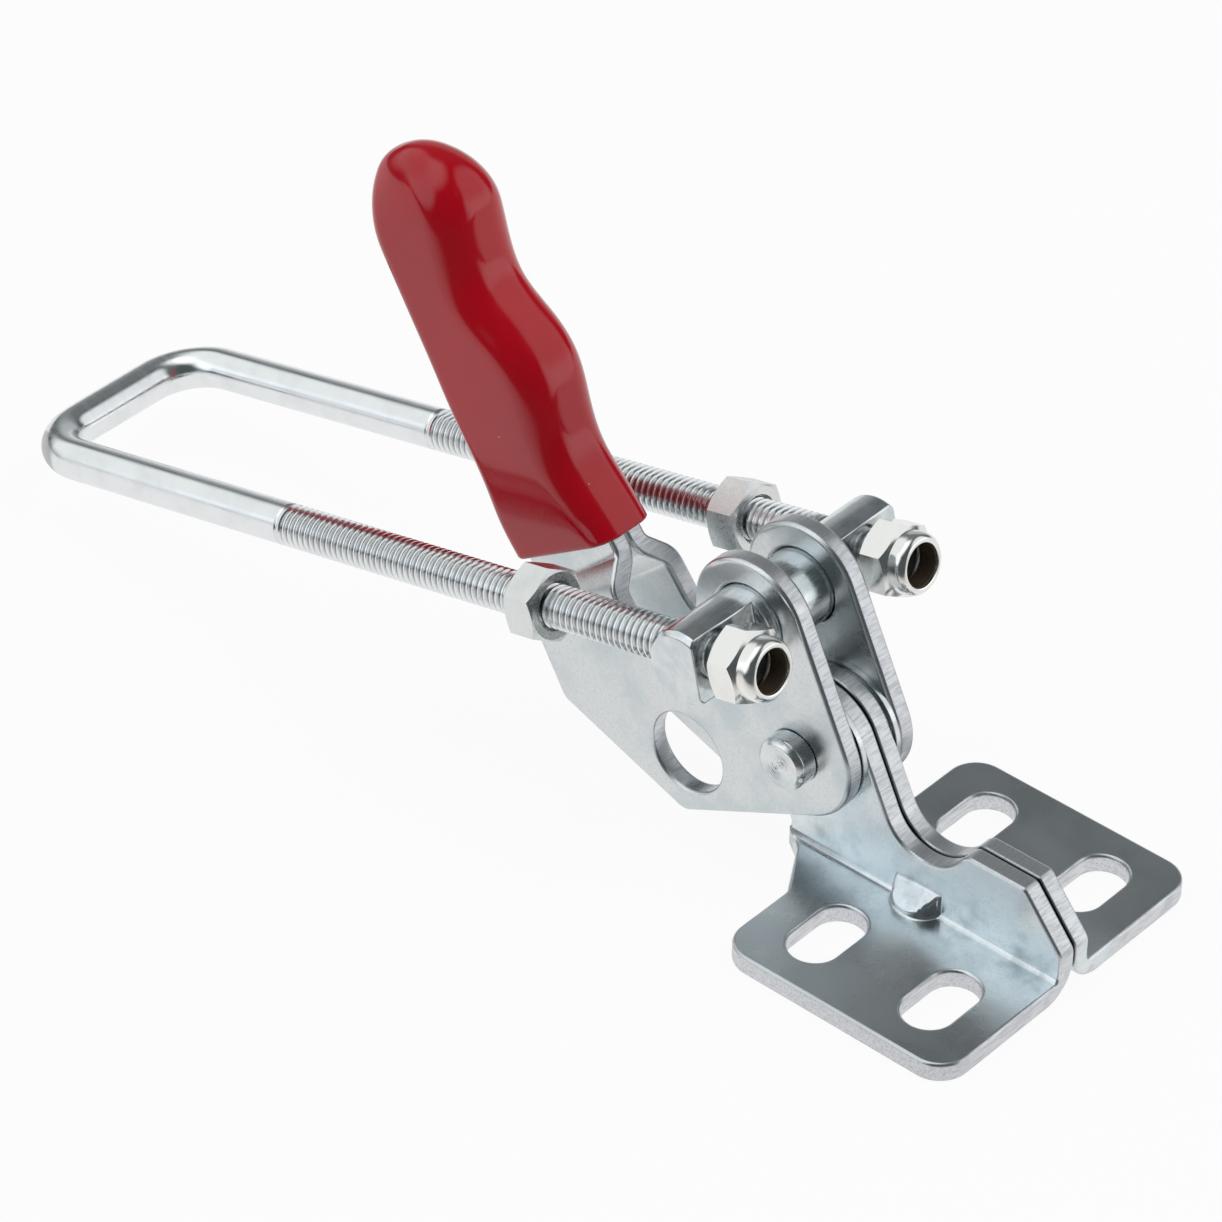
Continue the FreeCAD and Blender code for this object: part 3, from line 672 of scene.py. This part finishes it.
def grip_piece():
    """Grip: rolled lower rim, smooth skin through the sections, domed top."""
    rows = []
    bottom = GRIP_KNOTS[0]
    back, finger, half, back_radius, finger_radius = grip_section(bottom)
    for turn in GRIP_RIM_TURNS:
        inset = GRIP_RIM * (1 - math.cos(math.radians(turn)))
        lift = GRIP_RIM * (1 - math.sin(math.radians(turn)))
        rows.append(grip_ring(bottom + lift, (back + inset, finger - inset, half - inset,
                                              back_radius - inset, finger_radius - inset)))
    skin = GRIP_DOME_START - bottom - GRIP_RIM
    count = int(skin / GRIP_ROW)
    for step in range(count):
        along = bottom + GRIP_RIM + skin * step / count
        rows.append(grip_ring(along, grip_section(along)))
    for step in range(GRIP_DOME_ROWS):
        part = math.sin(math.pi / 2 * step / GRIP_DOME_ROWS)
        along = GRIP_DOME_START + (GRIP_TOP - GRIP_DOME_START) * part
        keep = (1 - part ** GRIP_DOME_POWER) ** (1 / GRIP_DOME_POWER)
        back, finger, half, back_radius, finger_radius = grip_section(along)
        middle = (back + finger) / 2 - GRIP_DOME_LEAN * part ** 2
        width = (finger - back) / 2 * keep
        oval = GRIP_DOME_OVAL * min(1.0, 1.25 * part) ** 2
        rows.append(grip_ring(along, (middle - width, middle + width, half * keep,
                                      back_radius * keep, min(finger_radius, half * 0.95) * keep), oval))
    obj = grid_object("grip_skin", rows)
    smooth_by_angle(obj, 60)
    return obj


# Nuts, turned round the leg axis

def nut_ring(x, heights_and_radii, turn_degrees):
    """One closed ring; heights_and_radii(angle) gives (u, radius)."""
    ring = []
    for step in range(NUT_STEPS):
        angle = 2 * math.pi * step / NUT_STEPS
        u, radius = heights_and_radii(angle)
        turn = angle + math.radians(turn_degrees)
        ring.append(on_bolt(x, u) + (SIDEWAYS * math.sin(turn) + ACROSS_LEG * math.cos(turn)) * radius)
    return ring


def hexagon_radius(angle):
    """Distance from the axis to the hexagon's outline."""
    share = (angle + math.pi / 6) % (math.pi / 3) - math.pi / 6
    return NUT_FLAT / math.cos(math.pi / 6 - abs(share))


def nut_object(name, x, profile, turn_degrees):
    """Closed lathe of rings; a profile item is (u, radius) or ("hex", u, way the chamfer falls)."""
    rows = []
    for item in profile:
        if item[0] == "hex":
            def at(angle, u=item[1], way=item[2]):
                radius = hexagon_radius(angle)
                return u + way * (radius - NUT_FACE) * NUT_CHAMFER_SLOPE, radius
        else:
            def at(angle, u=item[0], radius=item[1]):
                return u, radius
        rows.append(nut_ring(x, at, turn_degrees))
    obj = grid_object(name, rows + rows[:1], caps=False)
    mesh = bmesh.new()
    mesh.from_mesh(obj.data)
    bmesh.ops.remove_doubles(mesh, verts=mesh.verts, dist=0.001 * MM)
    face_outwards(mesh, obj.data)
    smooth_by_angle(obj, 24)
    return obj


def bore_thread(start, end):
    """Rings of a thread-like bore, crest and root in turn, from start to end."""
    rings = []
    count = int(abs(end - start) / THREAD_PITCH * 2)
    for step in range(count + 1):
        u = start + (end - start) * step / count
        rings.append((u, NUT_BORE + (0.0 if step % 2 else NUT_BORE_DEPTH)))
    return rings


def jam_nut_piece(side, x):
    """Plain hexagon nut, chamfered on both faces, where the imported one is."""
    low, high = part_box("jam_nut_" + side)
    middle = (Vector(low) + Vector(high)) / 2
    centre = (middle - TRUNNION).dot(TOWARDS_HOOK)
    start, end = centre - JAM_NUT_HEIGHT / 2, centre + JAM_NUT_HEIGHT / 2
    sink = NUT_BORE + 0.55 * MM
    profile = [(start, sink), (start, NUT_FACE), ("hex", start, 1),
               ("hex", end, -1), (end, NUT_FACE), (end, sink)]
    profile += bore_thread(end - 0.5 * MM, start + 0.5 * MM)
    return nut_object("jam_nut_dressed_" + side, x, profile, 0.0)


def lock_nut_piece(side, x):
    """Hexagon with a round collar that is rolled in over the insert."""
    sink = NUT_BORE + 0.5 * MM
    roll_in = COLLAR_RADIUS - MOUTH_RADIUS - 0.45 * MM
    profile = [(LOCK_NUT_BEARING, sink), (LOCK_NUT_BEARING, NUT_FACE), ("hex", LOCK_NUT_BEARING, -1),
               ("hex", LOCK_NUT_HEX_END, 1), (LOCK_NUT_HEX_END - 0.05 * MM, NUT_FACE - 0.1 * MM),
               (LOCK_NUT_HEX_END - 0.2 * MM, COLLAR_RADIUS),
               (LOCK_NUT_LIP + COLLAR_ROUNDING, COLLAR_RADIUS)]
    rounding_steps = 10
    for step in range(1, rounding_steps + 1):
        turn = math.pi / 2 * step / rounding_steps
        profile.append((LOCK_NUT_LIP + COLLAR_ROUNDING * (1 - math.sin(turn)),
                        COLLAR_RADIUS - roll_in * (1 - math.cos(turn))))
    pocket = INSERT_RADIUS + 0.02 * MM
    profile += [(LOCK_NUT_LIP + 0.02 * MM, MOUTH_RADIUS + 0.25 * MM),
                (LOCK_NUT_LIP + 0.12 * MM, MOUTH_RADIUS + 0.05 * MM),
                (LOCK_NUT_LIP + 0.3 * MM, MOUTH_RADIUS), (LOCK_NUT_LIP + 0.4 * MM, MOUTH_RADIUS),
                (LOCK_NUT_LIP + 0.4 * MM, pocket), (LOCK_NUT_LIP + INSERT_POCKET, pocket)]
    profile += bore_thread(LOCK_NUT_LIP + INSERT_POCKET, LOCK_NUT_BEARING - 0.5 * MM)
    return nut_object("lock_nut_dressed_" + side, x, profile, LOCK_NUT_TURN[side])


def insert_piece(side, x):
    """Ring in the collar, its bore cut by the thread."""
    start = LOCK_NUT_LIP + 0.42 * MM
    end = LOCK_NUT_LIP + INSERT_POCKET - 0.05 * MM
    profile = [(end, INSERT_BORE + 0.1 * MM), (end, INSERT_RADIUS), (start, INSERT_RADIUS),
               (start, INSERT_BORE + 0.2 * MM), (start + 0.12 * MM, INSERT_BORE + 0.05 * MM)]
    ridges = 9
    for step in range(ridges):
        u = start + 0.2 * MM + (end - start - 0.3 * MM) * step / (ridges - 1)
        profile.append((u, INSERT_BORE + (INSERT_RIDGE if step % 2 else 0.0)))
    return nut_object("nylon_insert_dressed_" + side, x, profile, 0.0)


# Pieces
sheet_handle = plate_material("zinc_handle", handle_edges, ZINC_LIGHT, ZINC_TEAL)
sheet_base = plate_material("zinc_base", base_edges, BASE_LIGHT, BASE_BLUE, base_painted_light)
for side in ("left", "right"):
    dress(nodes["base_plate_" + side], sheet_base)
    dress(nodes["handle_plate_" + side], sheet_handle)
    soft_edges(nodes["base_plate_" + side], BEVEL_BASE, degrees=65)
    soft_edges(nodes["handle_plate_" + side], BEVEL_HANDLE, degrees=50)

rivet_metal = turned_material("turned_rivet", joints["lever_pivot"]["pos_m"], RIVET_STEEL,
                              rough=0.2, ring_pitch=1.0 * MM, ring_depth=0.11 * MM)
bar_metal = turned_material("turned_bar", TRUNNION, BAR_STEEL,
                            rough=0.17, ring_pitch=1.3 * MM, ring_depth=0.03 * MM)
dress(nodes["pivot_rivet"], rivet_metal)
dress(nodes["trunnion"], bar_metal)
soft_edges(nodes["trunnion"], BEVEL_TRUNNION)
soft_edges(nodes["pivot_rivet"], BEVEL_RIVET)
for side in ("left", "right"):
    dress(nodes["pivot_washer_" + side], rivet_metal)

rod_metal = bright_material("bright_rod", ROD_STEEL, rough=0.19, grain_size=1.5 * MM,
                            grain_stretch=(1.0, 0.08, 0.3))
jam_metal = bright_material("dull_nut", JAM_NUT_STEEL, rough=0.27, grain_size=0.8 * MM)
nut_metal = bright_material("bright_nut", LOCK_NUT_STEEL, rough=0.15, grain_size=0.8 * MM)
nylon = nylon_material()
for side in ("left", "right"):
    leg = -LEG_X if side == "left" else LEG_X
    for kind, make in (("jam_nut_", jam_nut_piece), ("lock_nut_", lock_nut_piece)):
        nut = make(side, leg)
        dress(nut, jam_metal if kind == "jam_nut_" else nut_metal)
        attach(nut, kind + side)
        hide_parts(kind + side)
    ring = insert_piece(side, leg)
    dress(ring, nylon)
    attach(ring, "lock_nut_" + side)
    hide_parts("nylon_insert_" + side)

bolt_pieces = [threaded_leg("thread_left", -LEG_X), threaded_leg("thread_right", LEG_X), bolt_shank()]
for piece in bolt_pieces:
    dress(piece, rod_metal)
    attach(piece, "u_bolt")
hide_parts("u_bolt")

grip = grip_piece()
dress(grip, grip_material())
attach(grip, "handle")
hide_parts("grip")


# Floor, light and camera
FLOOR_SIZE = 6.0
FLOOR_GAP = 0.01 * MM
FLOOR_COLOR = (0.9, 0.9, 0.9, 1)
FLOOR_GLOW_SHOWN = 0.93
KEY_PLACE = Vector((0.25, -0.55, 1.0))
KEY_AIM = Vector((0, 0.09, 0.04))
KEY_SIZE = (0.7, 0.6)
KEY_POWER = 3.0
WORLD_DARK = (0.072, 0.086, 0.090, 1)
# Cards round the object: direction, cosine where full, cosine where it ends, colour
WORLD_CARDS = [
    ((-0.20, 0.40, 0.89), 0.93, 0.72, (1.28, 1.30, 1.31, 1)),
    ((0.60, -0.77, -0.02), 0.95, 0.80, (0.68, 0.70, 0.71, 1)),
    ((0.60, -0.77, 0.30), 0.98, 0.84, (1.26, 1.28, 1.29, 1)),
    ((0.62, -0.48, 0.62), 0.97, 0.86, (0.85, 0.87, 0.88, 1)),
    ((0.60, 0.52, 0.61), 0.95, 0.78, (0.155, 0.165, 0.168, 1)),
    ((-0.70, 0.50, 0.50), 0.93, 0.80, (1.12, 1.16, 1.20, 1)),
    ((-0.15, 0.80, 0.58), 0.93, 0.80, (0.88, 0.90, 0.90, 1)),
    ((0.87, 0.49, 0.00), 0.94, 0.82, (0.45, 0.47, 0.48, 1)),
]


def floor():
    """Pale floor: near white to the camera, with the shadow; in the metal it darkens to the front."""
    half = FLOOR_SIZE / 2
    data = bpy.data.meshes.new("floor")
    data.from_pydata([(-half, -half, 0), (half, -half, 0), (half, half, 0), (-half, half, 0)],
                     [], [(0, 1, 2, 3)])
    obj = link_object("floor", data)
    obj.location.z = min(cad_low.z, 0.0) - FLOOR_GAP
    material, g, shader = new_material("pale_floor")
    shader.inputs["Base Color"].default_value = FLOOR_COLOR
    shader.inputs["Roughness"].default_value = 0.9
    path = g.add("ShaderNodeLightPath")
    glow = g.add("ShaderNodeEmission")
    mixer = g.add("ShaderNodeMixShader")
    where = g.parts(g.coords("Object"))
    nearer = g.plus(g.times(where[0], -0.78), g.times(where[1], -0.63))
    aside = g.plus(g.times(where[0], 0.60), g.times(where[1], -0.77))
    mirrored = g.times(g.step(nearer, 0.0, 0.22, 0.88, 0.10), g.step(aside, 0.0, 0.2, 1.0, 0.93))
    glossy = path.outputs["Is Glossy Ray"]
    # Strength 1 to the camera, the mirrored share to glossy rays
    g.feed(glow.inputs["Strength"], g.plus(1.0, g.times(glossy, g.math("SUBTRACT", mirrored, 1.0))))
    camera_share = g.times(path.outputs["Is Camera Ray"], FLOOR_GLOW_SHOWN)
    g.feed(mixer.inputs[0], g.math("MAXIMUM", camera_share, glossy))
    g.feed(mixer.inputs[1], shader.outputs[0])
    g.feed(mixer.inputs[2], glow.outputs[0])
    g.feed(g.tree.nodes["Material Output"].inputs["Surface"], mixer.outputs[0])
    dress(obj, material)


def key_light():
    """Soft lamp from the upper front, left out of reflections."""
    data = bpy.data.lights.new("key", "AREA")
    data.shape = "RECTANGLE"
    data.size, data.size_y = KEY_SIZE
    data.energy = KEY_POWER
    obj = link_object("key", data)
    obj.location = KEY_PLACE
    obj.rotation_mode = "QUATERNION"
    obj.rotation_quaternion = (KEY_AIM - KEY_PLACE).to_track_quat("-Z", "Y")
    obj.visible_glossy = False


def world():
    """Studio: white to the camera; dark with soft cards for light and reflections."""
    scene_world = bpy.data.worlds.new("studio")
    bpy.context.scene.world = scene_world
    scene_world.use_nodes = True
    g = Graph(scene_world.node_tree)
    background = g.tree.nodes["Background"]
    way = g.coords("Generated")
    color = WORLD_DARK
    for direction, inner, outer, shade in WORLD_CARDS:
        dot = g.add("ShaderNodeVectorMath", operation="DOT_PRODUCT")
        g.feed(dot.inputs[0], way)
        dot.inputs[1].default_value = Vector(direction).normalized()
        color = g.mix(g.step(dot.outputs["Value"], outer, inner), color, shade)
    path = g.add("ShaderNodeLightPath")
    seen = g.math("MAXIMUM", path.outputs["Is Camera Ray"], path.outputs["Is Transmission Ray"])
    g.feed(background.inputs["Color"], g.mix(seen, color, (1, 1, 1, 1)))
    background.inputs["Strength"].default_value = 1.0


def camera():
    """The photograph's camera."""
    data = bpy.data.cameras.new("camera")
    data.lens = CAMERA_LENS
    data.sensor_width = CAMERA_SENSOR
    data.clip_start = 0.01
    data.clip_end = 20
    obj = link_object("camera", data)
    turn = Matrix((CAMERA_RIGHT, -CAMERA_DOWN, -CAMERA_FORWARD)).transposed()
    obj.matrix_world = Matrix.Translation(CAMERA_PLACE) @ turn.to_4x4()
    bpy.context.scene.camera = obj


floor()
world()
key_light()
camera()
bpy.context.scene.view_settings.view_transform = "Standard"
